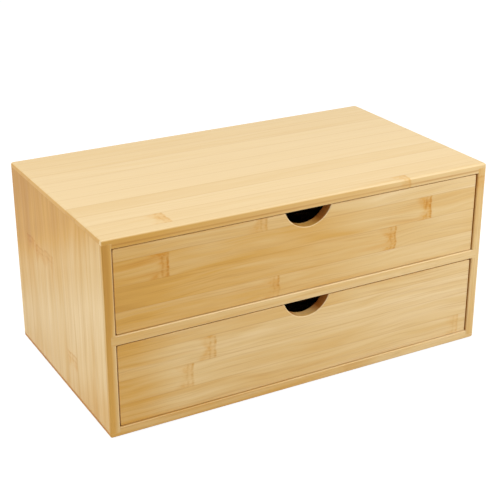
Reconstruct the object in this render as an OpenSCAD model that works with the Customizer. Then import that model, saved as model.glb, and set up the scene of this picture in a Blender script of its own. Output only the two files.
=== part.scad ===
// Desktop organizer: a bamboo case with two full-width drawers, one above the other.
// Millimetres, +Z up. The origin is on the desk, under the middle of the case.
// The drawers open towards -Y, and left and right are as seen from there.

/* [Case] */
// Outer width of the case
case_w = 330; // [240:1:420]
// Outer depth of the case
case_d = 187; // [140:1:260]
// Height of the case without its foot pads
case_h = 155; // [120:1:220]
// Thickness of the top, bottom, side and shelf boards
board_t = 7.5; // [6.5:0.5:10]
// Rounding of the outer edges
edge_r = 1.3; // [0.5:0.1:2.5]
// Width of the bevel round the mouth of each drawer bay
rim_bevel = 0.8; // [0.3:0.1:1.5]

/* [Case joints] */
// Thickness of the lap with which the top and bottom boards cover the ends of the sides
lap_t = 3.7; // [2:0.1:4.5]
// Depth of the housing that takes the shelf in each side
housing_depth = 3.7; // [2:0.1:5]
// Thickness of the back panel
back_t = 4; // [3:0.5:6]
// Distance of the back panel from the rear edges of the case
back_inset = 4; // [2:0.5:12]
// Depth of the groove that holds the back panel
back_groove_depth = 3.5; // [2:0.1:4.5]
// Play of every thin panel at the floor of its groove
panel_play = 0.3; // [0.1:0.1:0.8]

/* [Drawer fronts] */
// Thickness of a drawer front
front_t = 9; // [7:0.5:12]
// Distance of a closed front behind the front edges of the case
front_recess = 1.3; // [0.5:0.1:4]
// Gap between a drawer and each side of its bay
side_gap = 1.1; // [0.5:0.1:2]
// Gap between a front and the board above it
top_gap = 1; // [0.5:0.1:2]
// Gap between a front and the board below it
foot_gap = 0.3; // [0.2:0.1:1]
// Rounding of the face edges of a front
face_edge_r = 1; // [0.3:0.1:2]
// Rounding of the four corners of a front
face_corner_r = 1.4; // [0.5:0.1:4]

/* [Finger notches] */
// Width of a notch at the top edge of the front
notch_w = 39.4; // [25:0.2:60]
// Depth of a notch below the top edge of the front
notch_h = 13.8; // [8:0.2:20]
// Width of the bevel along the edges of a notch
notch_bevel = 0.7; // [0.3:0.1:1.5]

/* [Drawer boxes] */
// Thickness of the sides and the back of a drawer
wall_t = 6; // [5:0.5:8]
// Distance of the top of the walls below the top of the front
wall_drop = 5; // [1:0.5:15]
// Rounding of the top edges of the walls
wall_edge_r = 1; // [0.3:0.1:2]
// Thickness of the front that is left in front of the ends of the drawer sides
lip_t = 4.5; // [3:0.1:5.5]
// Depth of the rebate that takes the drawer back in each drawer side
back_rebate_depth = 3; // [1.5:0.1:4]
// Gap between a closed drawer and the back panel
closed_gap = 0.3; // [0.1:0.1:1]
// Thickness of a drawer bottom
bottom_t = 3; // [2:0.5:4]
// Height of a drawer bottom above the lower edges of the drawer sides
bottom_rise = 4; // [2:0.5:8]
// Depth of the groove that holds a drawer bottom
bottom_groove_depth = 3; // [1.5:0.1:4]

/* [Foot pads] */
// Diameter of a foot pad
pad_d = 10; // [6:0.5:16]
// Thickness of a foot pad
pad_t = 1; // [0.5:0.1:3]
// Distance of a pad's centre from the outer faces of the case
pad_inset = 14; // [10:0.5:30]

/* [Hidden] */

// Length by which a cut runs past the faces that it opens
overrun = 1;

// Length by which a mouth's section runs past its bay on each side
mouth_margin = rim_bevel + 2 * overrun;

// Heights and faces of the case
base_z = pad_t;
top_z = base_z + case_h;
front_y = -case_d / 2;
rear_y = case_d / 2;

// The two drawer bays: the lower one is 0, the upper one is 1
LOWER = 0;
UPPER = 1;
bay_w = case_w - 2 * board_t;
bay_h = (case_h - 3 * board_t) / 2;
function bay_z(bay) = base_z + board_t + bay * (bay_h + board_t);
shelf_z = bay_z(UPPER) - board_t;

// The back panel stands in one slot that runs round the four outer boards
panel_y = rear_y - back_inset - back_t;
inner_h = case_h - 2 * board_t;
shelf_d = panel_y - front_y;

// A drawer, measured from the floor of its bay
front_w = bay_w - 2 * side_gap;
front_h = bay_h - foot_gap - top_gap;
front_top = foot_gap + front_h;
face_y = front_y + front_recess;
front_back_y = face_y + front_t;
side_y = face_y + lip_t;
drawer_end_y = panel_y - closed_gap;
side_len = drawer_end_y - side_y;
back_y = drawer_end_y - wall_t;
wall_h = front_top - wall_drop;
box_w = front_w - 2 * wall_t;
box_d = back_y - front_back_y;

// The notch is a segment of a circle whose centre lies above the top edge
notch_r = (pow(notch_w / 2, 2) + pow(notch_h, 2)) / (2 * notch_h);
notch_z = front_top - notch_h + notch_r;

bamboo_pale = [0.93, 0.81, 0.60];
bamboo_warm = [0.86, 0.71, 0.47];
bamboo_inner = [0.88, 0.76, 0.56];
panel_tan = [0.80, 0.66, 0.45];
pad_grey = [0.30, 0.29, 0.28];

$fn = 64;

// Extrudes a section drawn in the YZ plane along X, centred
module along_x(length)
    rotate([90, 0, 90])
        linear_extrude(length, center = true)
            children();

// Extrudes a section drawn in the XZ plane along Y, centred
module along_y(length)
    rotate([90, 0, 0])
        linear_extrude(length, center = true)
            children();

// Rectangle about the origin with four round corners
module rounded_rect(w, h, r) {
    square([w, h - 2 * r], center = true);
    square([w - 2 * r, h], center = true);
    for (x = [-1, 1], y = [-1, 1])
        translate([x * (w / 2 - r), y * (h / 2 - r)])
            circle(r);
}

// Rectangle that stands on the x axis, with its two upper corners round
module round_topped(w, h, r)
    intersection() {
        rounded_rect(w, 2 * h, r);
        translate([-w / 2, 0])
            square([w, h]);
    }

// Mouth of a gap of width w that enters the half plane y > 0, with bevelled lips
module bevelled_mouth(w)
    polygon([
        [-w / 2 - rim_bevel - overrun, -overrun],
        [w / 2 + rim_bevel + overrun, -overrun],
        [w / 2 - overrun, rim_bevel + overrun],
        [-w / 2 + overrun, rim_bevel + overrun],
    ]);

// Outer form of the case, with all its edges rounded
module case_form()
    translate([0, 0, base_z + case_h / 2])
        intersection() {
            linear_extrude(case_h, center = true)
                rounded_rect(case_w, case_d, edge_r);
            along_y(case_d)
                rounded_rect(case_w, case_h, edge_r);
            along_x(case_w)
                rounded_rect(case_d, case_h, edge_r);
        }

// Front end of a drawer bay, with the bevel of its rim mitred at the corners
module bay_mouth(bay)
    translate([0, front_y, bay_z(bay) + bay_h / 2])
        intersection() {
            linear_extrude(bay_h + 2 * mouth_margin, center = true)
                bevelled_mouth(bay_w);
            along_x(bay_w + 2 * mouth_margin)
                rotate(-90)
                    bevelled_mouth(bay_h);
        }

// Slot for the back panel, cut into the top, the bottom and both sides
module back_slot()
    translate([
        -bay_w / 2 - back_groove_depth,
        panel_y,
        base_z + board_t - back_groove_depth,
    ])
        cube([
            bay_w + 2 * back_groove_depth,
            back_t,
            inner_h + 2 * back_groove_depth,
        ]);

// Draws its children and their mirror image about the middle of the case
module both_sides()
    for (flip = [0, 1])
        mirror([flip, 0, 0])
            children();

// Room of the right side board, between the laps of the top and bottom boards
module side_room()
    translate([bay_w / 2, front_y - overrun, base_z + lap_t])
        cube([board_t + overrun, case_d + 2 * overrun, case_h - 2 * lap_t]);

// Slab of the case's form, from z up; one of its faces lies an overrun outside the case
module outer_board(z)
    intersection() {
        case_form();
        translate([-case_w / 2 - overrun, front_y - overrun, z])
            cube([case_w + 2 * overrun, case_d + 2 * overrun, board_t + overrun]);
    }

module top_panel()
    color(bamboo_pale)
        difference() {
            outer_board(top_z - board_t);
            both_sides()
                side_room();
            bay_mouth(UPPER);
            back_slot();
        }

module bottom_panel()
    color(bamboo_warm)
        difference() {
            outer_board(base_z - overrun);
            both_sides()
                side_room();
            bay_mouth(LOWER);
            back_slot();
        }

// The side board on the right; the left one is its mirror image
module side_panel()
    difference() {
        intersection() {
            case_form();
            side_room();
        }
        translate([0, front_y - overrun, shelf_z])
            cube([bay_w / 2 + housing_depth, shelf_d + overrun, board_t]);
        bay_mouth(LOWER);
        bay_mouth(UPPER);
        back_slot();
    }

module left_side_panel()
    color(bamboo_warm)
        mirror([1, 0, 0])
            side_panel();

module right_side_panel()
    color(bamboo_warm)
        side_panel();

module middle_shelf()
    color(bamboo_warm)
        difference() {
            translate([-bay_w / 2 - housing_depth, front_y, shelf_z])
                cube([bay_w + 2 * housing_depth, shelf_d, board_t]);
            bay_mouth(LOWER);
            bay_mouth(UPPER);
        }

module back_panel()
    color(panel_tan)
        translate([0, panel_y + back_t / 2, base_z + case_h / 2])
            cube([
                bay_w + 2 * (back_groove_depth - panel_play),
                back_t,
                inner_h + 2 * (back_groove_depth - panel_play),
            ], center = true);

// One pad under a corner; the signs of x and y choose the corner
module foot_pad(x, y)
    color(pad_grey)
        translate([x * (case_w / 2 - pad_inset), y * (case_d / 2 - pad_inset), 0])
            cylinder(d = pad_d, h = pad_t);

module foot_pad_front_left() foot_pad(-1, -1);

module foot_pad_front_right() foot_pad(1, -1);

module foot_pad_rear_left() foot_pad(-1, 1);

module foot_pad_rear_right() foot_pad(1, 1);

// Moves a piece of a drawer from the floor of its bay to its place in the case
module in_bay(bay)
    translate([0, 0, bay_z(bay)])
        children();

// Slot for a drawer bottom, cut into the four pieces round it
module bottom_slot()
    translate([
        -box_w / 2 - bottom_groove_depth,
        front_back_y - bottom_groove_depth,
        bottom_rise,
    ])
        cube([
            box_w + 2 * bottom_groove_depth,
            box_d + 2 * bottom_groove_depth,
            bottom_t,
        ]);

// Round tool that cuts a finger notch, with a bevel on both faces of the front
module notch_cutter()
    translate([0, face_y + front_t / 2, notch_z])
        rotate([90, 0, 0])
            rotate_extrude()
                polygon([
                    [0, -front_t / 2 - overrun],
                    [notch_r + notch_bevel + overrun, -front_t / 2 - overrun],
                    [notch_r, -front_t / 2 + notch_bevel],
                    [notch_r, front_t / 2 - notch_bevel],
                    [notch_r + notch_bevel + overrun, front_t / 2 + overrun],
                    [0, front_t / 2 + overrun],
                ]);

module drawer_front()
    difference() {
        intersection() {
            translate([0, face_y + front_t / 2, foot_gap + front_h / 2])
                along_y(front_t)
                    rounded_rect(front_w, front_h, face_corner_r);
            translate([0, front_back_y, foot_gap])
                linear_extrude(front_h)
                    rotate(180)
                        round_topped(front_w, front_t, face_edge_r);
            translate([0, front_back_y, foot_gap + front_h / 2])
                along_x(front_w)
                    rotate(90)
                        round_topped(front_h, front_t, face_edge_r);
        }
        both_sides()
            translate([box_w / 2, side_y, -overrun])
                cube([wall_t + overrun, front_t, front_top + 2 * overrun]);
        bottom_slot();
        notch_cutter();
    }

// The side of a drawer on the right; the left one is its mirror image
module drawer_side()
    difference() {
        translate([box_w / 2 + wall_t / 2, side_y + side_len / 2, 0])
            along_y(side_len)
                round_topped(wall_t, wall_h, wall_edge_r);
        translate([0, back_y, -overrun])
            cube([box_w / 2 + back_rebate_depth, wall_t + overrun, wall_h + 2 * overrun]);
        bottom_slot();
    }

module drawer_back()
    difference() {
        translate([0, back_y + wall_t / 2, foot_gap])
            along_x(box_w + 2 * back_rebate_depth)
                round_topped(wall_t, wall_h - foot_gap, wall_edge_r);
        bottom_slot();
    }

module drawer_bottom()
    translate([
        -box_w / 2 - bottom_groove_depth + panel_play,
        front_back_y - bottom_groove_depth + panel_play,
        bottom_rise,
    ])
        cube([
            box_w + 2 * (bottom_groove_depth - panel_play),
            box_d + 2 * (bottom_groove_depth - panel_play),
            bottom_t,
        ]);

module upper_drawer_front()
    color(bamboo_warm)
        in_bay(UPPER)
            drawer_front();

module upper_drawer_left_side()
    color(bamboo_inner)
        in_bay(UPPER)
            mirror([1, 0, 0])
                drawer_side();

module upper_drawer_right_side()
    color(bamboo_inner)
        in_bay(UPPER)
            drawer_side();

module upper_drawer_back()
    color(bamboo_inner)
        in_bay(UPPER)
            drawer_back();

module upper_drawer_bottom()
    color(panel_tan)
        in_bay(UPPER)
            drawer_bottom();

module lower_drawer_front()
    color(bamboo_warm)
        in_bay(LOWER)
            drawer_front();

module lower_drawer_left_side()
    color(bamboo_inner)
        in_bay(LOWER)
            mirror([1, 0, 0])
                drawer_side();

module lower_drawer_right_side()
    color(bamboo_inner)
        in_bay(LOWER)
            drawer_side();

module lower_drawer_back()
    color(bamboo_inner)
        in_bay(LOWER)
            drawer_back();

module lower_drawer_bottom()
    color(panel_tan)
        in_bay(LOWER)
            drawer_bottom();

top_panel();
bottom_panel();
left_side_panel();
right_side_panel();
middle_shelf();
back_panel();
foot_pad_front_left();
foot_pad_front_right();
foot_pad_rear_left();
foot_pad_rear_right();
upper_drawer_front();
upper_drawer_left_side();
upper_drawer_right_side();
upper_drawer_back();
upper_drawer_bottom();
lower_drawer_front();
lower_drawer_left_side();
lower_drawer_right_side();
lower_drawer_back();
lower_drawer_bottom();
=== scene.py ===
"""Bamboo desk organizer with two drawers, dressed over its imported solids."""

import random
from math import acos, radians

import bmesh
import bpy
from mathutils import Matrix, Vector


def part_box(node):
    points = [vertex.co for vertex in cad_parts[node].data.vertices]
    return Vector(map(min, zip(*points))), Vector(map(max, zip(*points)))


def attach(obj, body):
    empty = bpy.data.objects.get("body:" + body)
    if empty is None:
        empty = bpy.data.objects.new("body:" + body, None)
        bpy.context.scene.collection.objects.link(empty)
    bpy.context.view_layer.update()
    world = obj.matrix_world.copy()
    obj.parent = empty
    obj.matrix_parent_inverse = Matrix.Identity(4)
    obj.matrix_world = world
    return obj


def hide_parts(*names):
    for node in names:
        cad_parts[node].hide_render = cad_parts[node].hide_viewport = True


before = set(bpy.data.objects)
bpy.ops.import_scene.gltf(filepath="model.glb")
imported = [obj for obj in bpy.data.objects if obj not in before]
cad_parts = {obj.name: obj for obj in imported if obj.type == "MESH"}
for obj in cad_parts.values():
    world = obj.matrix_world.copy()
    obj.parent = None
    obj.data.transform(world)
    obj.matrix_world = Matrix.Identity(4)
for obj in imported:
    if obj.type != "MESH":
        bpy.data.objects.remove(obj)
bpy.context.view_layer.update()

MM = 0.001
X, Y, Z = 0, 1, 2

# Places this close together are the same
TOLERANCE = 0.01 * MM

# How the boards of the case are worked
EDGE_ROUND = 1.8 * MM
CORNER_EDGE_ROUND = 1.2 * MM
RIM_ROUND = 0.8 * MM
REAR_ROUND = 0.5 * MM
JOINT_LINE = 0.12 * MM
PANEL_PLAY = 0.3 * MM

# Drawer fronts
FACE_ROUND = 0.7 * MM
FACE_END_ROUND = 0.35 * MM
CORNER_ROUND = 1.4 * MM
NOTCH_WIDTH = 39.4 * MM
NOTCH_DEPTH = 13.8 * MM
NOTCH_ROUND = 0.8 * MM
NOTCH_MARGIN = 3.0 * MM
NOTCH_STEPS = 48

# Foot pads
PAD_SIDES = 48
PAD_ROUND = 0.3 * MM
PAD_RIM = 1.2 * MM
PAD_RING_SLOPE = 0.3 * MM
PAD_RING_DEPTH = 0.25 * MM

# Every rounded edge
WIDEST_ROUND = EDGE_ROUND
ROUND_STEPS = 4
FLUSH_ANGLE = radians(20)
SMOOTH_ANGLE = radians(30)

# Bamboo strips, glued edge to edge, and how many lie across a board
STRIP_WIDTH = 19.0 * MM
LEFT_STRIP_WIDTH = 19.4 * MM
DEEP_STRIPS = 11
WALL_STRIPS = 4
BACK_STRIPS = 9
STRIP_SHADES = (0.35, 0.85)
SEAM_DEPTH = 5.0 * MM

# How much of a board's first strip is planed away
PLANED_OFF = {
    "top": 10 * MM, "bottom": 4 * MM, "left": 9.9 * MM, "right": 6 * MM,
    "shelf": 3 * MM, "front": 9 * MM, "wall": 8 * MM,
}

# Knuckles, an internode apart; their places along the grain lie within KNUCKLE_REACH of zero
INTERNODE = 240 * MM
LONGEST_INTERNODE = 600 * MM
KNUCKLE_REACH = 300 * MM
KNUCKLE_TONES = (0.3, 0.8)
NO_KNUCKLE = (0.0, LONGEST_INTERNODE, 0.0)
BAR_GAP = 4.2 * MM
WAVER_SIZE = 4.5 * MM
WAVER_START = -2.2 * MM

# Stain below a knuckle, longest at the glue lines, and the thin trails that run on from it
STAIN_EDGE = 1.4 * MM
STAIN_LENGTH = 17 * MM
STAIN_ARCH = 0.9
STAIN_LIMITS = (1.1, 0.5)
TRAIL_LENGTH = 60 * MM
TRAIL_FULL = 8 * MM

# Lines on the wood: how far from the middle each is gone, and up to where it is full
FIRST_BAR = (1.5 * MM, 0.3 * MM)
SECOND_BAR = (1.4 * MM, 0.2 * MM)
GLUE_LINE = (0.6 * MM, 0.1 * MM)
SEAM_LINE = (1.0 * MM, 0.3 * MM)
SECOND_BAR_STRENGTH = 0.7
GLUE_STRENGTH = 0.2

# Where the tones of a board start and end along its grain
GRAIN_ENDS = {X: (-150 * MM, 150 * MM), Y: (-80 * MM, 90 * MM), Z: (-20 * MM, 180 * MM)}

# Figure of the bamboo: waves per metre along and across the grain
SWAY_WAVES = (11.0, 24.0)
FLAME_WAVES = (5.0, 60.0)
STREAK_WAVES = (13.0, 190.0)
COARSE_WAVES = (6.0, 420.0)
FINE_WAVES = (14.0, 1500.0)
WAVER_WAVES = (30.0, 160.0)
MOTTLE = dict(waves=(90.0, 170.0), limits=(0.35, 0.6), strength=(0.35, 1.0))
WRINKLES = dict(waves=(330.0, 560.0), limits=(0.4, 0.6), strength=(0.6, 1.0))
TRAILS = dict(waves=(12.0, 260.0), limits=(0.5, 0.7), strength=(0.0, 0.5))
BAR_BREAKS = dict(waves=(90.0, 420.0), limits=(0.35, 0.6), strength=(0.1, 1.0))
SEAM_CHANGES = dict(waves=(9.0, 60.0), limits=(0.3, 0.7), strength=(0.25, 0.6))

# How strongly the figure shows
SWAY_SIZE = 9 * MM
STRIP_CONTRAST = 0.4
FLAME_TWIST = 1.2
FLAME_CONTRAST = 0.7
STREAK_TWIST = 0.8
STREAK_CONTRAST = 0.45
COARSE_LIMITS = (0.5, 0.8)
COARSE_STRENGTH = 0.15
FINE_LIMITS = (0.5, 0.75)
FINE_STRENGTH = 0.3
FIBRE_RELIEF = {"Strength": 0.3, "Distance": 0.08 * MM}

# Shifts and seeds that give each strip and each board its own figure
STRIP_SHIFT = 7.31
BOARD_SHIFT = 13.7
FRONT_SEED = 10
WALL_SEEDS = {"_left_side": 30, "_right_side": 31, "_back": 25}
WALL_SEED_STEP = 4
BOTTOM_SEED = 30
BACK_SEED = 40

# Satin lacquer
LACQUER = {"Specular IOR Level": 0.1, "Coat Weight": 0.1, "Coat Roughness": 0.25}
LACQUER_LIMITS = (0.3, 0.7)
LACQUER_ROUGHNESS = (0.38, 0.5)

# Painted highlight on the rounded rims, from a height above the bottom, and on the flat fronts of
# the upright boards beside the bays
RIM_HIGHLIGHT_START = 3 * MM
RIM_HIGHLIGHT_FADE = 1 * MM
FLAT_HIGHLIGHT_WIDTH = 5 * MM
FLAT_HIGHLIGHT = 0.6

# Finger notch: its border, the painted highlight on its rim, and how much of the face's tone shows
# in it
NOTCH_BORDER = 1 * MM
NOTCH_FADE = 1 * MM
NOTCH_RIM_HIGHLIGHT = 0.35
FACE_IN_NOTCH = 0.4

# Where the end grain tint, the painted shade of the bay walls and the darkening of the notch walls
# set in and are full, behind the drawer faces or beside the bays
END_GRAIN_STARTS = (1.0 * MM, 2.0 * MM)
BAY_WALL_PAINTED_SHADE_STARTS = (-0.3 * MM, 0.3 * MM)
NOTCH_WALL_GRAIN_AND_SHADE_STARTS = (0.3 * MM, 1.0 * MM)
WALL_FADE_START = 0.1 * MM
WALL_FADE_END = 0.2 * MM

# Turns of a surface: the share of its normal that lies along an axis
LOOKS_THAT_WAY = 0.5
SQUARE_TO_AXIS = (0.6, 0.9)
RIM_BEGINS = (0.1, 0.4)
RIM_ENDS = (0.99, 0.9)
RUNS_LENGTHWISE = (0.4, 0.2)
LOOKS_LEFT = (-0.6, -0.9)
STANDS_UPRIGHT = (0.2, 0.7)

# Rubber, with waves per metre
RUBBER_GRAIN = 2500.0
RUBBER_CLOUDS = 300.0
RUBBER_LIMITS = (0.3, 0.7)
RUBBER_ROUGHNESS = (0.7, 0.85)
RUBBER_RELIEF = {"Strength": 0.4, "Distance": 0.05 * MM}

# Camera that sees the object as the photo does, in degrees, metres and millimetres of lens
PHOTO_AZIMUTH = -29.1
PHOTO_ELEVATION = 23.2
PHOTO_AIM = Vector((1.7 * MM, 0.0, 79.8 * MM))
PHOTO_DISTANCE = 973.7 * MM
PHOTO_LENS = 85.3

# Light and floor, where 1 shows a colour as it is written
SKY = 0.45
WHITE = (1.0, 1.0, 1.0, 1.0)
FLOOR_SIZE = 12
FLOOR_PALE = (0.65, 0.65, 0.65, 1.0)
FLOOR_SHADOWED = (0.3, 0.3, 0.3, 1.0)
FLOOR_GLOW = 0.87

# Softboxes: name, place and side in metres, and power in watts
SOFTBOXES = (
    ("key softbox", Vector((0.6, -0.8, 0.8)), 0.5, 8.1),
    ("ceiling softbox", Vector((-0.4, 0.2, 1.2)), 1.0, 2.9),
    ("left softbox", Vector((-1.2, 0.1, 0.75)), 0.8, 7.1),
)

# Sizes of the case, read from its solids
case_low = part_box("bottom_panel")[0]
case_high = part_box("top_panel")[1]
right_low, right_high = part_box("right_side_panel")
shelf_low, shelf_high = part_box("middle_shelf")
back_low, back_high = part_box("back_panel")
bay_side = right_low.x
bay_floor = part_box("bottom_panel")[1].z
bay_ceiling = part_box("top_panel")[0].z
front_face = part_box("upper_drawer_front")[0].y
slot_front = back_low.y
slot_rear = back_high.y
slot_side = back_high.x + PANEL_PLAY
front_plane = (Y, case_low.y)
rear_plane = (Y, case_high.y)
side_planes = [(X, case_low.x), (X, case_high.x)]
rim_highlight_from = case_low.z + RIM_HIGHLIGHT_START


def near(a, b):
    return abs(a - b) < TOLERANCE


def looks(normal, axis, way):
    """Whether a face looks forwards (1) or backwards (-1) along an axis."""
    return normal[axis] * way > LOOKS_THAT_WAY


def pick_only(piece):
    bpy.ops.object.select_all(action="DESELECT")
    piece.select_set(True)
    bpy.context.view_layer.objects.active = piece


def start_piece(name):
    """Names the primitive that was just added, sets its place in its mesh and opens it."""
    piece = bpy.context.object
    piece.name = piece.data.name = name
    bpy.ops.object.transform_apply(location=True, rotation=True, scale=True)
    bpy.ops.object.mode_set(mode="EDIT")
    return piece


def start_block(name, low, high):
    """A block between two corners."""
    bpy.ops.object.select_all(action="DESELECT")
    bpy.ops.mesh.primitive_cube_add(size=1, location=(low + high) / 2, scale=high - low)
    return start_piece(name)


def every_face(spot, normal):
    return True


def select_faces(piece, wanted):
    """Selects the faces whose middle and normal pass the test, and no others."""
    bpy.ops.mesh.select_mode(type="FACE")
    bpy.ops.mesh.select_all(action="DESELECT")
    mesh = bmesh.from_edit_mesh(piece.data)
    for face in mesh.faces:
        face.select_set(bool(wanted(face.calc_center_median(), face.normal)))
    bmesh.update_edit_mesh(piece.data)


def select_points(piece, wanted):
    """Selects the points whose place passes the test, and what lies between them."""
    bpy.ops.mesh.select_mode(type="VERT")
    bpy.ops.mesh.select_all(action="DESELECT")
    mesh = bmesh.from_edit_mesh(piece.data)
    for point in mesh.verts:
        point.select_set(bool(wanted(point.co)))
    mesh.select_flush(True)
    bmesh.update_edit_mesh(piece.data)


def slice_across(piece, axis, places, wanted=every_face):
    """Cuts the wanted faces with planes square to an axis and takes nothing away."""
    for place in places:
        point = [0.0, 0.0, 0.0]
        normal = [0.0, 0.0, 0.0]
        point[axis] = place
        normal[axis] = 1.0
        select_faces(piece, wanted)
        bpy.ops.mesh.bisect(plane_co=point, plane_no=normal)


def pull(piece, axis, distance, wanted=every_face):
    """Extrudes the wanted faces along an axis."""
    move = [0.0, 0.0, 0.0]
    move[axis] = distance
    select_faces(piece, wanted)
    bpy.ops.mesh.extrude_region_move(TRANSFORM_OT_translate={"value": move})


def weigh_edges(piece, radius, wanted):
    """Sets how far the wanted edges are rounded; an edge between flush faces is left out."""
    mesh = bmesh.from_edit_mesh(piece.data)
    layers = mesh.edges.layers.float
    weight = layers.get("bevel_weight_edge") or layers.new("bevel_weight_edge")
    for edge in mesh.edges:
        start, end = (point.co for point in edge.verts)
        if edge.calc_face_angle(0.0) > FLUSH_ANGLE and wanted(start, end):
            edge[weight] = radius / WIDEST_ROUND
    bmesh.update_edit_mesh(piece.data)


def between(planes, others, where=None):
    """Test for an edge where a plane (axis, place) of one list meets one of the other list."""
    def test(start, end):
        def holds(plane):
            axis, place = plane
            return near(start[axis], place) and near(end[axis], place)

        first = [plane for plane in planes if holds(plane)]
        second = [plane for plane in others if holds(plane) and plane not in first[:1]]
        return first and second and (where is None or where((start + end) / 2))

    return test


def round_edges(piece):
    """Rounds the weighed edges and shades the piece."""
    bpy.ops.object.mode_set(mode="OBJECT")
    pick_only(piece)
    bevel = piece.modifiers.new("rounded edges", "BEVEL")
    bevel.limit_method = "WEIGHT"
    bevel.width = WIDEST_ROUND
    bevel.segments = ROUND_STEPS
    bevel.use_clamp_overlap = False
    bevel.face_strength_mode = "FSTR_ALL"
    bpy.ops.object.modifier_apply(modifier=bevel.name)
    bpy.ops.object.shade_smooth_by_angle(angle=SMOOTH_ANGLE)

    # Triangles stay flat
    for face in piece.data.polygons:
        face.use_smooth = len(face.vertices) > 3
    normals = piece.modifiers.new("flat faces", "WEIGHTED_NORMAL")
    normals.keep_sharp = True
    normals.use_face_influence = True
    bpy.ops.object.modifier_apply(modifier=normals.name)


def model_outer_board(name, outer_z, lap_z, slot_z, inner_z):
    """Top or bottom board: a lap over the ends of the sides, and a thick middle with a slot."""
    low = Vector((case_low.x, case_low.y, min(outer_z, lap_z)))
    high = Vector((case_high.x, case_high.y, max(outer_z, lap_z)))
    inward = 1 if inner_z > outer_z else -1

    def middle(spot, normal):
        return abs(spot.x) < bay_side and looks(normal, Z, inward)

    def beside_slot(spot, normal):
        return middle(spot, normal) and not slot_front < spot.y < slot_rear

    piece = start_block(name, low, high)
    slice_across(piece, X, (-bay_side, bay_side))
    slice_across(piece, Y, (slot_front, slot_rear))
    pull(piece, Z, slot_z - lap_z, middle)
    pull(piece, Z, inner_z - slot_z, beside_slot)

    outside = side_planes + [front_plane, rear_plane, (Z, outer_z)]
    joints = [(Z, lap_z), (X, -bay_side), (X, bay_side)]
    weigh_edges(piece, JOINT_LINE, between(joints, outside))
    weigh_edges(piece, EDGE_ROUND, between(outside, outside))
    weigh_edges(piece, CORNER_EDGE_ROUND, between(side_planes, [front_plane]))
    weigh_edges(piece, RIM_ROUND, between([front_plane], [(Z, inner_z)]))
    weigh_edges(piece, REAR_ROUND, between([rear_plane], [(Z, inner_z)]))
    round_edges(piece)
    return piece


def model_side_board(name, side):
    """Left (-1) or right (+1) board, with the housing of the shelf and the slot of the back."""
    outer_x = side * case_high.x
    housing_x = side * shelf_high.x
    slot_x = side * slot_side
    inner_x = side * bay_side
    low = Vector((min(outer_x, housing_x), right_low.y, right_low.z))
    high = Vector((max(outer_x, housing_x), right_high.y, right_high.z))

    def beside_housing(spot, normal):
        housed = shelf_low.z < spot.z < shelf_high.z and spot.y < slot_front
        return looks(normal, X, -side) and not housed

    def beside_slot(spot, normal):
        return beside_housing(spot, normal) and not slot_front < spot.y < slot_rear

    def beside_bay(spot):
        return bay_floor < spot.z < shelf_low.z or shelf_high.z < spot.z < bay_ceiling

    piece = start_block(name, low, high)
    slice_across(piece, Y, (slot_front, slot_rear))
    slice_across(piece, Z, (bay_floor, shelf_low.z, shelf_high.z, bay_ceiling))
    pull(piece, X, slot_x - housing_x, beside_housing)
    pull(piece, X, inner_x - slot_x, beside_slot)

    outer_plane = (X, outer_x)
    ends = [(Z, right_low.z), (Z, right_high.z)]
    weigh_edges(piece, JOINT_LINE, between(ends, [outer_plane, front_plane, rear_plane]))
    weigh_edges(piece, CORNER_EDGE_ROUND, between([outer_plane], [front_plane]))
    weigh_edges(piece, EDGE_ROUND, between([outer_plane], [rear_plane]))
    weigh_edges(piece, RIM_ROUND, between([(X, inner_x)], [front_plane], beside_bay))
    weigh_edges(piece, REAR_ROUND, between([(X, inner_x)], [rear_plane]))
    round_edges(piece)
    return piece


def model_shelf(name):
    piece = start_block(name, shelf_low, shelf_high)
    slice_across(piece, X, (-bay_side, bay_side))
    faces = [(Z, shelf_low.z), (Z, shelf_high.z)]
    ends = [(X, shelf_low.x), (X, shelf_high.x)]
    weigh_edges(piece, JOINT_LINE, between(ends, [front_plane]))
    weigh_edges(piece, RIM_ROUND, between(faces, [front_plane], lambda spot: abs(spot.x) < bay_side))
    round_edges(piece)
    return piece


def open_notch(piece, top_z, centre, radius):
    """Swaps the middle of a flat front for one whose top edge is the arc of the notch."""
    end = NOTCH_WIDTH / 2 + NOTCH_MARGIN
    opening = 2 * acos((radius - NOTCH_DEPTH) / radius)
    beside = {"value": (NOTCH_MARGIN, 0.0, 0.0)}
    select_faces(piece, lambda spot, normal: abs(spot.x) < end)
    bpy.ops.mesh.delete(type="FACE")
    select_points(piece, lambda spot: near(spot.x, -end) and near(spot.z, top_z))
    bpy.ops.mesh.extrude_vertices_move(TRANSFORM_OT_translate=beside)
    bpy.ops.mesh.spin(steps=NOTCH_STEPS, angle=opening, center=centre, axis=(0.0, 1.0, 0.0))
    bpy.ops.mesh.extrude_vertices_move(TRANSFORM_OT_translate=beside)
    bpy.ops.mesh.select_all(action="SELECT")
    bpy.ops.mesh.remove_doubles(threshold=TOLERANCE)
    select_points(piece, lambda spot: abs(spot.x) < end + TOLERANCE)
    bpy.ops.mesh.edge_face_add()
    bpy.ops.mesh.select_all(action="SELECT")
    bpy.ops.mesh.normals_make_consistent(inside=False)


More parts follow.
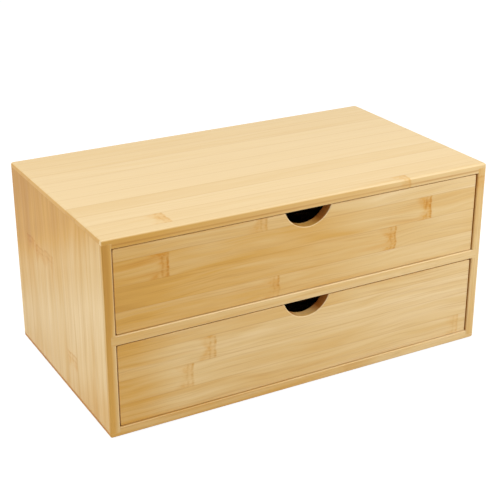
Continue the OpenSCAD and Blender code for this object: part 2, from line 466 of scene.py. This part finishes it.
def model_drawer_front(name, drawer):
    """Front with its finger notch, rebated for the drawer sides and grooved for the bottom."""
    low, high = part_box(drawer + "_front")
    wall_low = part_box(drawer + "_right_side")[0]
    floor_low, floor_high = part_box(drawer + "_bottom")
    groove_y = floor_low.y - PANEL_PLAY
    half = NOTCH_WIDTH / 2
    margin = half + NOTCH_MARGIN
    radius = (half ** 2 + NOTCH_DEPTH ** 2) / (2 * NOTCH_DEPTH)
    centre = Vector((0.0, low.y, high.z - NOTCH_DEPTH + radius))

    def back(spot, normal):
        return abs(spot.x) < wall_low.x and looks(normal, Y, 1)

    def beside_groove(spot, normal):
        return back(spot, normal) and not floor_low.z < spot.z < floor_high.z

    def on_the_arc(start, end):
        def meets(spot):
            reach = Vector((spot.x, 0.0, spot.z - centre.z)).length
            return near(reach, radius) and (near(spot.y, low.y) or near(spot.y, high.y))

        return meets(start) and meets(end) and near(start.y, end.y)

    bpy.ops.object.select_all(action="DESELECT")
    bpy.ops.mesh.primitive_plane_add(
        size=1,
        location=(0.0, low.y, (low.z + high.z) / 2),
        rotation=(radians(90), 0.0, 0.0),
    )
    bpy.context.object.scale = (high.x - low.x, high.z - low.z, 1.0)
    piece = start_piece(name)
    slice_across(piece, X, (-wall_low.x, -margin, margin, wall_low.x))
    open_notch(piece, high.z, centre, radius)
    pull(piece, Y, wall_low.y - low.y)
    bpy.ops.mesh.select_all(action="SELECT")
    bpy.ops.mesh.normals_make_consistent(inside=False)
    pull(piece, Y, groove_y - wall_low.y, back)
    slice_across(piece, Z, (floor_low.z, floor_high.z), back)
    pull(piece, Y, high.y - groove_y, beside_groove)

    face = [(Y, low.y)]
    ends = [(X, low.x), (X, high.x)]
    rails = [(Z, low.z), (Z, high.z)]
    corner_of_notch = [(X, -half), (X, half)]
    weigh_edges(piece, FACE_ROUND, between(face, rails[1:]))
    weigh_edges(piece, FACE_END_ROUND, between(face, ends))
    weigh_edges(piece, REAR_ROUND, between(face, rails[:1]))
    weigh_edges(piece, CORNER_ROUND, between(ends, rails))
    weigh_edges(piece, REAR_ROUND, between([(Y, high.y)], rails))
    weigh_edges(piece, REAR_ROUND, between(corner_of_notch, [(Z, high.z)]))
    weigh_edges(piece, NOTCH_ROUND, on_the_arc)
    round_edges(piece)
    return piece


def model_pad(name, node):
    """Round pad, with a shallow ring moulded into its underside."""
    low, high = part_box(node)
    bpy.ops.object.select_all(action="DESELECT")
    bpy.ops.mesh.primitive_cylinder_add(
        vertices=PAD_SIDES,
        radius=(high.x - low.x) / 2,
        depth=high.z - low.z,
        location=(low + high) / 2,
    )
    piece = start_piece(name)
    select_faces(piece, lambda spot, normal: looks(normal, Z, -1))
    bpy.ops.mesh.inset(thickness=PAD_RIM, depth=0.0)
    bpy.ops.mesh.inset(thickness=PAD_RING_SLOPE, depth=-PAD_RING_DEPTH)
    weigh_edges(piece, PAD_ROUND, lambda start, end: near(start.z, low.z) and near(end.z, low.z))
    round_edges(piece)
    return piece


def screen_colour(red, green, blue):
    """Scene colour for screen values from 0 to 255, by the sRGB formula."""
    shares = (value / 255 for value in (red, green, blue))
    linear = [s / 12.92 if s <= 0.04045 else ((s + 0.055) / 1.055) ** 2.4 for s in shares]
    return (*linear, 1.0)


# Ground colour of the bamboo, from dense honey wood at 0 to cream at 1
BAMBOO_TONES = (
    (0.0, screen_colour(195, 143, 66)),
    (0.35, screen_colour(214, 165, 84)),
    (0.75, screen_colour(227, 194, 136)),
    (1.0, screen_colour(236, 208, 158)),
)

# Colour of fibres and glue
FIBRE_BROWN = screen_colour(178, 120, 54)

# Shades that the colour of the wood is multiplied by: knuckle stains, end grain, the notch walls
# with their painted shade, and painted shade on the bay walls
KNUCKLE_STAIN = screen_colour(244, 214, 150)
KNUCKLE_BAR = screen_colour(236, 214, 166)
END_GRAIN = screen_colour(232, 208, 158)
NOTCH_WALL_GRAIN_AND_SHADE = screen_colour(206, 156, 104)
BAY_WALL_PAINTED_SHADE = screen_colour(216, 168, 100)

# Colours of the rubber
RUBBER_DARK = screen_colour(52, 50, 48)
RUBBER_WORN = screen_colour(78, 75, 72)


class Finish:
    """A material in the making, built up node by node."""

    def __init__(self, name):
        self.material = bpy.data.materials.new(name)
        self.material.use_nodes = True
        self.tree = self.material.node_tree
        self.surface = self.tree.nodes["Principled BSDF"]
        self.places = self.add("TexCoord", {}).outputs

    def add(self, kind, inputs, **settings):
        node = self.tree.nodes.new("ShaderNode" + kind)
        for name, value in settings.items():
            setattr(node, name, value)
        for socket, value in inputs.items():
            self.feed(node.inputs[socket], value)
        return node

    def feed(self, socket, value):
        """Links an output to a socket, or writes a plain value on it."""
        if isinstance(value, bpy.types.NodeSocket):
            self.tree.links.new(value, socket)
        else:
            socket.default_value = value

    def math(self, operation, *values):
        return self.add("Math", dict(enumerate(values)), operation=operation).outputs[0]

    def fade(self, value, start, end, low=0.0, high=1.0):
        """Runs softly from low to high as the value goes from start to end."""
        span = {"Value": value, "From Min": start, "From Max": end, "To Min": low, "To Max": high}
        return self.add("MapRange", span, interpolation_type="SMOOTHSTEP").outputs[0]

    def mix(self, factor, first, second, blend="MIX"):
        sockets = {0: factor, 6: first, 7: second}
        return self.add("Mix", sockets, data_type="RGBA", blend_type=blend).outputs[2]

    def noise(self, place, scale, **wave):
        return self.add("TexNoise", {"Vector": place, "Scale": scale, **wave}).outputs[0]

    def cover(self, colour, roughness, height, relief):
        """Gives the surface its colour, its roughness and the relief of a height."""
        self.feed(self.surface.inputs["Base Color"], colour)
        self.feed(self.surface.inputs["Roughness"], roughness)
        bump = self.add("Bump", {"Height": height, **relief})
        self.feed(self.surface.inputs["Normal"], bump.outputs[0])


class Bamboo(Finish):
    """Solid bamboo under a satin lacquer, in strips that are glued edge to edge.

    strips has a row for each strip, as strips_of gives them. They are counted from first_edge
    across the board, and step is their width; it is negative where they are counted downwards.
    seed sets the board's figure apart from that of the others, and figure is how strongly it
    shows. face and edge are how pale the board is, from 0 to 1, on its faces and on its long
    edges, at even steps from its low to its high end along the grain; on some boards they also
    hold painted shade and painted sheen, as noted where each board is built. slant leans these
    steps across the board. rim_highlight is how much paler its rounded rims are painted, a
    painted highlight, and ends how much paler the sawn ends of its strips are painted, which
    lightens the shaded gaps beside the drawer fronts; the ends are darkened where it is 0.
    notch_floor is the lowest height of its finger notch, and seam the height where its long
    edges show the glue between its two layers.
    """

    def __init__(
        self, name, grain, across, first_edge, strips,
        step=STRIP_WIDTH, seed=0, figure=1.0, face=(0.6, 0.6), edge=None, slant=0.0,
        rim_highlight=0.45, ends=0.0, notch_floor=None, seam=None,
    ):
        super().__init__(name)
        self.grain = grain
        self.across = across
        self.figure = figure
        self.spot = self.add("SeparateXYZ", {0: self.places["Object"]}).outputs
        self.facing = self.add("SeparateXYZ", {0: self.places["Normal"]}).outputs
        self.slanted = self.math("MULTIPLY_ADD", self.spot[across], slant, self.spot[grain])
        self.from_middle = self.math("ABSOLUTE", self.spot[X])
        self.in_notch = self.inside_notch(notch_floor)

        from_edge = self.math("SUBTRACT", self.spot[across], first_edge)
        counted = self.math("DIVIDE", from_edge, step)
        rank = self.math("FLOOR", counted)
        self.to_glue = self.math("MULTIPLY", self.math("PINGPONG", counted, 0.5), abs(step))
        self.shift = self.math("MULTIPLY_ADD", rank, STRIP_SHIFT, seed * BOARD_SHIFT)
        self.shade, self.knuckle_at, self.internode, self.tone = self.read_strips(rank, strips)
        self.wavy = self.bend_fibres()
        self.coarse = self.fibres(COARSE_WAVES)
        self.fine = self.fibres(FINE_WAVES)

        wood = self.ground(self.paleness(face, edge or face, rim_highlight, ends))
        wood = self.with_fibres(wood)
        wood, bars = self.with_knuckles(wood)
        wood = self.with_glue_lines(wood)
        if seam is not None:
            wood = self.with_seam(wood, seam)
        if not ends:
            wood = self.with_end_grain(wood)
        # Painted shade on the right walls of the bays
        if grain == Z:
            wood = self.with_painted_bay_wall_shade(wood)
        # Cross-cut fibres and painted shade on the walls of the notch
        if notch_floor is not None:
            wood = self.with_notch_wall_grain_and_shade(wood)
        roughness = self.fade(self.coarse, *LACQUER_LIMITS, *LACQUER_ROUGHNESS)
        height = self.math("SUBTRACT", self.math("ADD", self.coarse, self.fine), bars)
        self.cover(wood, roughness, height, FIBRE_RELIEF)
        for socket, value in LACQUER.items():
            self.surface.inputs[socket].default_value = value

    def inside_notch(self, notch_floor):
        """1 in the finger notch and close around it, 0 elsewhere and on a board without one."""
        if notch_floor is None:
            return 0.0
        side = NOTCH_WIDTH / 2 + NOTCH_BORDER
        floor = notch_floor - NOTCH_BORDER
        beside = self.fade(self.from_middle, side + NOTCH_FADE, side)
        above = self.fade(self.spot[Z], floor - NOTCH_FADE, floor)
        return self.math("MULTIPLY", beside, above)

    def read_strips(self, rank, strips):
        """Looks a strip's row up by its number; a colour ramp holds the four values as a colour."""
        seat = self.math("DIVIDE", self.math("ADD", rank, 0.5), len(strips))
        table = self.add("ValToRGB", {0: seat})
        stops = table.color_ramp.elements
        table.color_ramp.interpolation = "CONSTANT"
        stops.remove(stops[1])
        for number, (shade, knuckle, internode, tone) in enumerate(strips):
            stop = stops.new(number / len(strips)) if number else stops[0]
            knuckle_share = (knuckle + KNUCKLE_REACH) / (2 * KNUCKLE_REACH)
            stop.color = (shade, knuckle_share, internode / LONGEST_INTERNODE, tone)
        read = self.add("SeparateColor", {0: table.outputs["Color"]}).outputs
        knuckle = self.math("MULTIPLY_ADD", read[1], 2 * KNUCKLE_REACH, -KNUCKLE_REACH)
        internode = self.math("MULTIPLY", read[2], LONGEST_INTERNODE)
        return read[0], knuckle, internode, table.outputs["Alpha"]

    def scaled(self, place, waves):
        """Stretches places by the waves per metre, and moves each strip to its own spot."""
        along, across = waves
        stretch = [across] * 3
        stretch[self.grain] = along
        sockets = {0: place, 1: stretch, 2: self.shift}
        return self.add("VectorMath", sockets, operation="MULTIPLY_ADD").outputs[0]

    def bend_fibres(self):
        """Places with a gentle sideways wave, as the fibres grow."""
        sway = self.noise(self.scaled(self.places["Object"], SWAY_WAVES), 1.0)
        sway = self.math("MULTIPLY_ADD", sway, SWAY_SIZE, -SWAY_SIZE / 2)
        aside = self.add("CombineXYZ", {self.across: sway}).outputs[0]
        return self.add("VectorMath", {0: self.places["Object"], 1: aside}).outputs[0]

    def fibres(self, waves, **twist):
        """Noise drawn out along the grain."""
        return self.noise(self.scaled(self.wavy, waves), 1.0, **twist)

    def pattern(self, waves, limits, strength):
        """Noise along the grain; between its limits it runs from one strength to the other."""
        return self.fade(self.fibres(waves), *limits, *strength)

    def turned(self, axis):
        """1 where the surface is square to an axis, 0 elsewhere."""
        return self.fade(self.math("ABSOLUTE", self.facing[axis]), *SQUARE_TO_AXIS)

    def behind(self, starts):
        """Sets in behind the drawer faces: 0 up to the first depth, 1 from the second."""
        start, end = starts
        return self.fade(self.spot[Y], front_face + start, front_face + end)

    def paleness(self, face, edge, rim_highlight, ends):
        """How pale each spot is: by board, by strip, in soft streaks, with painted light on the sawn
        ends and a painted highlight on the rims.
        """
        long_edge = self.math("MULTIPLY_ADD", self.in_notch, -FACE_IN_NOTCH, 1.0)
        long_edge = self.math("MULTIPLY", self.turned(self.across), long_edge)
        board = self.mix(long_edge, self.along_board(face), self.along_board(edge))
        strip = self.math("MULTIPLY_ADD", self.shade, STRIP_CONTRAST, -STRIP_CONTRAST / 2)
        flames = self.math("SUBTRACT", self.fibres(FLAME_WAVES, Distortion=FLAME_TWIST), 0.5)
        flames = self.math("MULTIPLY", flames, FLAME_CONTRAST)
        streaks = self.math("SUBTRACT", self.fibres(STREAK_WAVES, Distortion=STREAK_TWIST), 0.5)
        streaks = self.math("MULTIPLY_ADD", streaks, STREAK_CONTRAST, flames)
        figure = self.math("MULTIPLY_ADD", streaks, self.figure, strip)
        pale = self.math("ADD", board, figure)
        # Painted light on the sawn ends of the strips, which lightens the shaded gaps beside the
        # drawer fronts
        pale = self.math("MULTIPLY_ADD", self.turned(self.grain), ends, pale)
        # Painted highlight on the rounded rims, stronger on the rim of the notch
        rim_highlight_strength = self.math("MULTIPLY_ADD", self.in_notch, NOTCH_RIM_HIGHLIGHT, rim_highlight)
        return self.math("MULTIPLY_ADD", self.highlit_rims(), rim_highlight_strength, pale)

    def highlit_rims(self):
        """Painted highlight: 1 where the rims of the front and rear are rounded over, 0 elsewhere.

        Upright boards get it beside the bays only, and there on their flat front too.
        """
        forward = self.math("ABSOLUTE", self.facing[Y])
        highlit_rims = self.math("MULTIPLY", self.fade(forward, *RIM_BEGINS), self.fade(forward, *RIM_ENDS))
        highlit_rims = self.math("MULTIPLY", highlit_rims, self.fade(self.spot[Z], rim_highlight_from, rim_highlight_from + RIM_HIGHLIGHT_FADE))
        if self.grain == Z:
            beside_bay = self.fade(self.from_middle, bay_side + FLAT_HIGHLIGHT_WIDTH, bay_side)
            highlit_front = self.math("MULTIPLY", self.turned(Y), FLAT_HIGHLIGHT)
            return self.math("MULTIPLY", self.math("MAXIMUM", highlit_rims, highlit_front), beside_bay)
        sideways = self.math("ABSOLUTE", self.facing[X])
        lengthwise = self.math("MAXIMUM", self.fade(sideways, *RUNS_LENGTHWISE), self.in_notch)
        return self.math("MULTIPLY", highlit_rims, lengthwise)

    def along_board(self, tones):
        """Runs softly through even steps of tone between the ends of the grain."""
        start, end = GRAIN_ENDS[self.grain]
        place = self.math("DIVIDE", self.math("SUBTRACT", self.slanted, start), end - start)
        ramp = self.add("ValToRGB", {0: place})
        ramp.color_ramp.interpolation = "EASE"
        stops = ramp.color_ramp.elements
        for number, tone in enumerate(tones):
            stop = stops[number] if number < 2 else stops.new(1.0)
            stop.position = number / (len(tones) - 1)
            stop.color = (tone, tone, tone, 1.0)
        return ramp.outputs["Color"]

    def ground(self, paleness):
        """Ground colour, from honey where the culm is dense to cream."""
        ramp = self.add("ValToRGB", {0: paleness})
        stops = ramp.color_ramp.elements
        for number, (place, colour) in enumerate(BAMBOO_TONES):
            stop = stops[number] if number < 2 else stops.new(place)
            stop.position = place
            stop.color = colour
        return ramp.outputs["Color"]

    def with_fibres(self, wood):
        coarse = self.fade(self.coarse, *COARSE_LIMITS, high=COARSE_STRENGTH * self.figure)
        fine = self.fade(self.fine, *FINE_LIMITS, high=FINE_STRENGTH * self.figure)
        return self.mix(fine, self.mix(coarse, wood, FIBRE_BROWN), FIBRE_BROWN)

    def with_knuckles(self, wood):
        """Stains each knuckle and draws the two bars of its ridge; also gives the bars."""
        waver = self.math("MULTIPLY_ADD", self.fibres(WAVER_WAVES), WAVER_SIZE, WAVER_START)
        offset = self.math("SUBTRACT", self.spot[self.grain], self.knuckle_at)
        offset = self.math("ADD", offset, waver)
        half = self.math("MULTIPLY", self.internode, 0.5)
        offset = self.math("WRAP", offset, half, self.math("MULTIPLY", half, -1.0))
        first = self.fade(self.math("ABSOLUTE", offset), *FIRST_BAR)
        from_second = self.math("ABSOLUTE", self.math("ADD", offset, BAR_GAP))
        second = self.fade(from_second, *SECOND_BAR, high=SECOND_BAR_STRENGTH)
        bars = self.math("MAXIMUM", first, second)
        bars = self.math("MULTIPLY", bars, self.pattern(**BAR_BREAKS))
        bars = self.math("MULTIPLY", bars, self.tone)
        stain = self.math("MULTIPLY", self.knuckle_stain(offset), self.tone)
        wood = self.mix(stain, wood, KNUCKLE_STAIN, "MULTIPLY")
        return self.mix(bars, wood, KNUCKLE_BAR, "MULTIPLY"), bars

    def knuckle_stain(self, offset):
        """Mottled stain below a knuckle, shorter in the middle of its strip, with thin trails."""
        above = self.fade(offset, STAIN_EDGE, 0.0)
        reach = self.math("MULTIPLY_ADD", self.to_glue, STAIN_ARCH, -STAIN_LENGTH)
        nearness = self.math("DIVIDE", offset, reach)
        stain = self.math("MULTIPLY", self.fade(nearness, *STAIN_LIMITS), above)
        mottle = self.math("MULTIPLY", self.pattern(**MOTTLE), self.pattern(**WRINKLES))
        stain = self.math("MULTIPLY", stain, mottle)
        trail = self.math("MULTIPLY", self.fade(offset, -TRAIL_LENGTH, -TRAIL_FULL), above)
        trail = self.math("MULTIPLY", trail, self.pattern(**TRAILS))
        return self.math("MAXIMUM", stain, trail)

    def with_glue_lines(self, wood):
        return self.mix(self.fade(self.to_glue, *GLUE_LINE, high=GLUE_STRENGTH), wood, FIBRE_BROWN)

    def with_seam(self, wood, seam):
        """Draws the glue between the two layers along the long edges."""
        off_seam = self.math("ABSOLUTE", self.math("SUBTRACT", self.spot[Z], seam))
        line = self.math("MULTIPLY", self.fade(off_seam, *SEAM_LINE), self.pattern(**SEAM_CHANGES))
        return self.mix(self.math("MULTIPLY", line, self.turned(self.across)), wood, FIBRE_BROWN)

    def with_end_grain(self, wood):
        """Darkens the ends of the strips, which drink more lacquer, but not their front rims."""
        ends = self.math("MULTIPLY", self.turned(self.grain), self.behind(END_GRAIN_STARTS))
        return self.mix(ends, wood, END_GRAIN, "MULTIPLY")

    def with_painted_bay_wall_shade(self, wood):
        """Paints shade on the wall at the right of the bays, from just behind its front rim, so that
        the gaps beside the drawer fronts look dark.
        """
        aside = self.fade(self.from_middle, bay_side + WALL_FADE_END, bay_side + WALL_FADE_START)
        inward = self.math("MULTIPLY", self.fade(self.facing[X], *LOOKS_LEFT), aside)
        inward = self.math("MULTIPLY", inward, self.behind(BAY_WALL_PAINTED_SHADE_STARTS))
        return self.mix(inward, wood, BAY_WALL_PAINTED_SHADE, "MULTIPLY")

    def with_notch_wall_grain_and_shade(self, wood):
        """Darkens the upright walls of the notch, partly where the saw crossed the fibres and partly
        as painted shade.
        """
        upright = self.fade(self.math("ABSOLUTE", self.facing[X]), *STANDS_UPRIGHT)
        wall = self.math("MULTIPLY", upright, self.behind(NOTCH_WALL_GRAIN_AND_SHADE_STARTS))
        return self.mix(self.math("MULTIPLY", wall, self.in_notch), wood, NOTCH_WALL_GRAIN_AND_SHADE, "MULTIPLY")


def rubber(name):
    """Soft dark rubber with a fine moulded grain."""
    finish = Finish(name)
    grain = finish.noise(finish.places["Object"], RUBBER_GRAIN)
    cloud = finish.noise(finish.places["Object"], RUBBER_CLOUDS)
    colour = finish.mix(cloud, RUBBER_DARK, RUBBER_WORN)
    roughness = finish.fade(cloud, *RUBBER_LIMITS, *RUBBER_ROUGHNESS)
    finish.cover(colour, roughness, grain, RUBBER_RELIEF)
    return finish.material


def strips_of(count, seed, knuckles=None):
    """One row a strip: shade, knuckle place, internode and tone.

    knuckles gives the place, the internode and the tone of the strips that show one, so an empty
    one leaves the board plain; without it every strip has its own by chance.
    """
    chance = random.Random(seed)
    rows = []
    for number in range(count):
        shade = chance.uniform(*STRIP_SHADES)
        place = chance.uniform(-0.5, 0.5) * INTERNODE
        by_chance = (place, INTERNODE, chance.uniform(*KNUCKLE_TONES))
        knuckle = by_chance if knuckles is None else knuckles.get(number, NO_KNUCKLE)
        rows.append((shade, *knuckle))
    return rows


def dress(piece, material, body, slot, *nodes):
    """Gives a piece its material and its body, and lets it stand for its solids."""
    piece.data.materials.clear()
    piece.data.materials.append(material)
    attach(piece, body)
    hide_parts(*nodes)


def build_top_board():
    knuckles = {
        0: (90 * MM, LONGEST_INTERNODE, 0.5),
        1: (-108 * MM, LONGEST_INTERNODE, 0.6),
    }
    # Its front edge darkens toward the left end, partly the wood's own tone and partly painted shade
    finish = Bamboo(
        "top bamboo", grain=X, across=Y, first_edge=case_low.y - PLANED_OFF["top"],
        strips=strips_of(DEEP_STRIPS, seed=1, knuckles=knuckles), figure=0.3,
        face=(0.92, 0.95, 0.95), edge=(0.28, 0.45, 0.54, 0.6, 0.76, 0.86), rim_highlight=0.25,
        seam=case_high.z - SEAM_DEPTH,
    )
    slot_z = back_high.z + PANEL_PLAY
    board = model_outer_board("top_board", case_high.z, right_high.z, slot_z, bay_ceiling)
    dress(board, finish.material, "case", "case_bamboo", "top_panel")


def build_bottom_board():
    # Its front edge darkens toward the left end, partly the wood's own tone and partly painted shade
    finish = Bamboo(
        "bottom bamboo", grain=X, across=Y, first_edge=case_low.y - PLANED_OFF["bottom"],
        strips=strips_of(DEEP_STRIPS, seed=2, knuckles={}), seed=2,
        face=(0.2, 0.75), edge=(0.32, 0.26, 0.36, 0.52, 0.64, 0.58),
    )
    slot_z = back_low.z - PANEL_PLAY
    board = model_outer_board("bottom_board", case_low.z, right_low.z, slot_z, bay_floor)
    dress(board, finish.material, "case", "case_bamboo", "bottom_panel")


def build_left_board():
    knuckles = {
        2: (105 * MM, LONGEST_INTERNODE, 0.6),
        3: (103 * MM, LONGEST_INTERNODE, 0.6),
        4: (105 * MM, LONGEST_INTERNODE, 0.5),
        6: (37 * MM, LONGEST_INTERNODE, 0.6),
    }
    # The side darkens toward its top and its rear, partly the wood's own tone and partly a painted
    # sheen on its lower part; its front edge is dark, darker toward the top, partly tone and partly
    # painted shade
    finish = Bamboo(
        "left bamboo", grain=Z, across=Y, first_edge=case_high.y + PLANED_OFF["left"],
        strips=strips_of(DEEP_STRIPS, seed=2110, knuckles=knuckles), step=-LEFT_STRIP_WIDTH,
        seed=3, figure=0.8, face=(0.45, 0.68, 0.82, 0.6, 0.2, 0.04),
        edge=(0.42, 0.35, 0.2, 0.1, 0.1), slant=0.42, rim_highlight=0.7,
    )
    board = model_side_board("left_board", -1)
    dress(board, finish.material, "case", "case_bamboo", "left_side_panel")


def build_right_board():
    finish = Bamboo(
        "right bamboo", grain=Z, across=Y, first_edge=case_low.y - PLANED_OFF["right"],
        strips=strips_of(DEEP_STRIPS, seed=4), seed=4,
        face=(0.8, 0.7), edge=(0.75, 0.58), rim_highlight=0.0,
    )
    board = model_side_board("right_board", 1)
    dress(board, finish.material, "case", "case_bamboo", "right_side_panel")


def build_shelf_board():
    # Its front edge darkens toward the left end, partly the wood's own tone and partly painted shade
    finish = Bamboo(
        "shelf bamboo", grain=X, across=Y, first_edge=case_low.y - PLANED_OFF["shelf"],
        strips=strips_of(DEEP_STRIPS, seed=5, knuckles={}), seed=5,
        face=(0.42, 0.65, 0.75, 0.8, 0.85),
    )
    board = model_shelf("shelf_board")
    dress(board, finish.material, "case", "case_bamboo", "middle_shelf")


def build_pads():
    pad_rubber = rubber("pad rubber")
    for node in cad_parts:
        if node.startswith("foot_pad"):
            pad = model_pad(node.replace("foot_pad", "rubber_foot"), node)
            dress(pad, pad_rubber, "case", "pad_rubber", node)


def build_fronts():
    strips = {
        "upper_drawer": (
            (0.9, -36 * MM, LONGEST_INTERNODE, 0.6),
            (0.5, -115 * MM, 228 * MM, 0.85),
            (0.45, 80 * MM, LONGEST_INTERNODE, 0.8),
            (0.7, -25 * MM, LONGEST_INTERNODE, 0.6),
        ),
        "lower_drawer": (
            (0.4, *NO_KNUCKLE),
            (0.8, -79 * MM, LONGEST_INTERNODE, 0.7),
            (0.6, -98 * MM, LONGEST_INTERNODE, 0.55),
            (0.5, 148 * MM, LONGEST_INTERNODE, 0.35),
        ),
    }
    # Tones along each face, darker toward the left end: partly the wood's own tone, partly painted
    # shade
    paleness = {
        "upper_drawer": (0.32, 0.48, 0.5, 0.7, 0.73),
        "lower_drawer": (0.34, 0.69, 0.7, 0.68, 0.75, 0.82, 0.84),
    }
    for number, drawer in enumerate(strips):
        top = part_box(drawer + "_front")[1].z
        # Top and bottom edges in a deep honey tone, partly the cut wood and partly painted shade in
        # the gaps and the notch; rim_highlight paints a faint highlight on the rims, and ends paints
        # light on the sawn ends in the gaps
        finish = Bamboo(
            drawer.replace("_", " ") + " front bamboo", grain=X, across=Z,
            first_edge=top + PLANED_OFF["front"], strips=strips[drawer], step=-STRIP_WIDTH,
            seed=FRONT_SEED + number, figure=0.9, face=paleness[drawer], edge=(0.15, 0.3),
            rim_highlight=0.1, ends=0.8, notch_floor=top - NOTCH_DEPTH,
        )
        front = model_drawer_front(drawer + "_front_board", drawer)
        dress(front, finish.material, drawer, "drawer_front_bamboo", drawer + "_front")


def paint_node(node, material):
    """Gives a board that keeps its solid its material."""
    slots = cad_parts[node].data.materials
    slots.clear()
    slots.append(material)


def paint_drawer_box(drawer, number):
    """The plain boards of a drawer box keep their solids."""
    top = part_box(drawer + "_back")[1].z
    for part, first_seed in WALL_SEEDS.items():
        seed = first_seed + WALL_SEED_STEP * number
        finish = Bamboo(
            (drawer + part).replace("_", " "), grain=X if part == "_back" else Y, across=Z,
            first_edge=top + PLANED_OFF["wall"], strips=strips_of(WALL_STRIPS, seed),
            step=-STRIP_WIDTH, seed=seed,
        )
        paint_node(drawer + part, finish.material)
    seed = BOTTOM_SEED + number
    finish = Bamboo(
        (drawer + "_bottom").replace("_", " "), grain=X, across=Y, first_edge=case_low.y,
        strips=strips_of(DEEP_STRIPS, seed, knuckles={}), seed=seed,
    )
    paint_node(drawer + "_bottom", finish.material)


def paint_back_panel():
    """The back panel keeps its solid too."""
    finish = Bamboo(
        "back bamboo", grain=X, across=Z, first_edge=case_low.z,
        strips=strips_of(BACK_STRIPS, BACK_SEED, knuckles={}), seed=BACK_SEED,
    )
    paint_node("back_panel", finish.material)


def show_as_white(tree, output, lit, shown):
    """Lets the camera and reflections see one shader, while the light comes from another."""
    rays = tree.nodes.new("ShaderNodeLightPath").outputs
    seen = rays["Is Camera Ray"]
    for ray in ("Is Glossy Ray", "Is Transmission Ray"):
        either = tree.nodes.new("ShaderNodeMath")
        either.operation = "MAXIMUM"
        tree.links.new(seen, either.inputs[0])
        tree.links.new(rays[ray], either.inputs[1])
        seen = either.outputs[0]
    choice = tree.nodes.new("ShaderNodeMixShader")
    tree.links.new(seen, choice.inputs[0])
    tree.links.new(lit, choice.inputs[1])
    tree.links.new(shown, choice.inputs[2])
    tree.links.new(choice.outputs[0], output)


def shader(tree, kind, colour, strength=None):
    node = tree.nodes.new("ShaderNode" + kind)
    node.inputs["Color"].default_value = colour
    if strength is not None:
        node.inputs["Strength"].default_value = strength
    return node.outputs[0]


def set_up_floor():
    """White floor that keeps the soft shadow of the object."""
    bpy.ops.object.select_all(action="DESELECT")
    bpy.ops.mesh.primitive_plane_add(size=FLOOR_SIZE)
    floor = bpy.context.object
    floor.name = "floor"
    material = bpy.data.materials.new("white floor")
    material.use_nodes = True
    tree = material.node_tree
    tree.nodes.remove(tree.nodes["Principled BSDF"])
    both = tree.nodes.new("ShaderNodeAddShader")
    tree.links.new(shader(tree, "BsdfDiffuse", FLOOR_SHADOWED), both.inputs[0])
    tree.links.new(shader(tree, "Emission", WHITE, FLOOR_GLOW), both.inputs[1])
    lit = shader(tree, "BsdfDiffuse", FLOOR_PALE)
    output = tree.nodes["Material Output"].inputs["Surface"]
    show_as_white(tree, output, lit, both.outputs[0])
    floor.data.materials.append(material)


def set_up_sky():
    world = bpy.data.worlds.new("studio")
    world.use_nodes = True
    bpy.context.scene.world = world
    tree = world.node_tree
    tree.nodes.remove(tree.nodes["Background"])
    lit = shader(tree, "Background", WHITE, SKY)
    shown = shader(tree, "Background", WHITE, 1.0)
    show_as_white(tree, tree.nodes["World Output"].inputs["Surface"], lit, shown)


def add_softbox(name, place, size, power):
    light = bpy.data.lights.new(name, "AREA")
    light.shape = "SQUARE"
    light.size = size
    light.energy = power
    lamp = bpy.data.objects.new(name, light)
    lamp.location = place
    lamp.rotation_euler = (PHOTO_AIM - place).to_track_quat("-Z", "Y").to_euler()
    bpy.context.scene.collection.objects.link(lamp)


def set_up_camera():
    lens = bpy.data.cameras.new("camera")
    lens.lens = PHOTO_LENS
    camera = bpy.data.objects.new("camera", lens)
    camera.rotation_euler = (radians(90 - PHOTO_ELEVATION), 0.0, radians(PHOTO_AZIMUTH))
    line_of_sight = camera.rotation_euler.to_matrix() @ Vector((0.0, 0.0, -1.0))
    camera.location = PHOTO_AIM - line_of_sight * PHOTO_DISTANCE
    bpy.context.scene.collection.objects.link(camera)
    bpy.context.scene.camera = camera


bpy.context.scene.view_settings.view_transform = "Standard"
build_top_board()
build_bottom_board()
build_left_board()
build_right_board()
build_shelf_board()
build_pads()
build_fronts()
for number, drawer in enumerate(("upper_drawer", "lower_drawer")):
    paint_drawer_box(drawer, number)
paint_back_panel()
set_up_floor()
set_up_sky()
for softbox in SOFTBOXES:
    add_softbox(*softbox)
set_up_camera()
